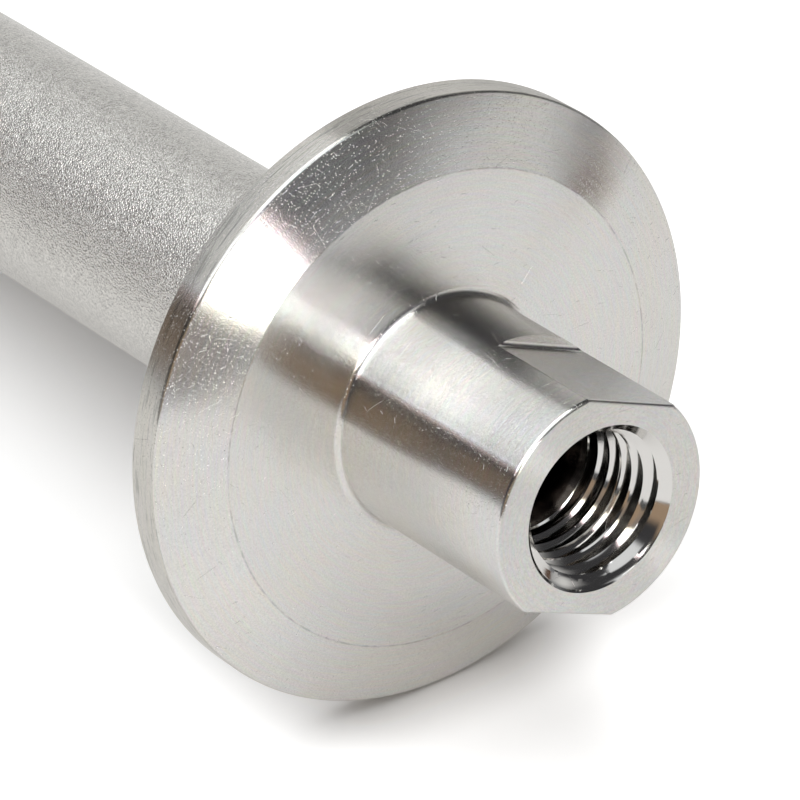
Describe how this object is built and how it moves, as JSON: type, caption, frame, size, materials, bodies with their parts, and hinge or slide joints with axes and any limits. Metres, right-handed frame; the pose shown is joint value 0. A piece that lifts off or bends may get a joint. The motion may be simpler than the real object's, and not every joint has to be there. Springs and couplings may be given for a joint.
{
  "type": "diffusion stone",
  "caption": "Stainless diffusion stone: a hygienic clamp flange with a threaded gas inlet stub, and behind it a sintered porous tube closed by a plug.",
  "frame": {"origin": "centre of the flange's gasket face, on the stone's axis", "axes": "+X along the axis, out of the gas inlet stub; the porous tube runs towards -X; the wrench flats face +Z and -Z"},
  "size_m": [0.1751, 0.0506, 0.0506],
  "materials": {
    "turned_stainless": "turned, satin",
    "sintered_stainless": "sintered, fine porous grain"
  },
  "bodies": {
    "root": {"inlet_fitting": "turned_stainless", "porous_tube": "sintered_stainless", "end_plug": "turned_stainless"}
  },
  "joints": []
}
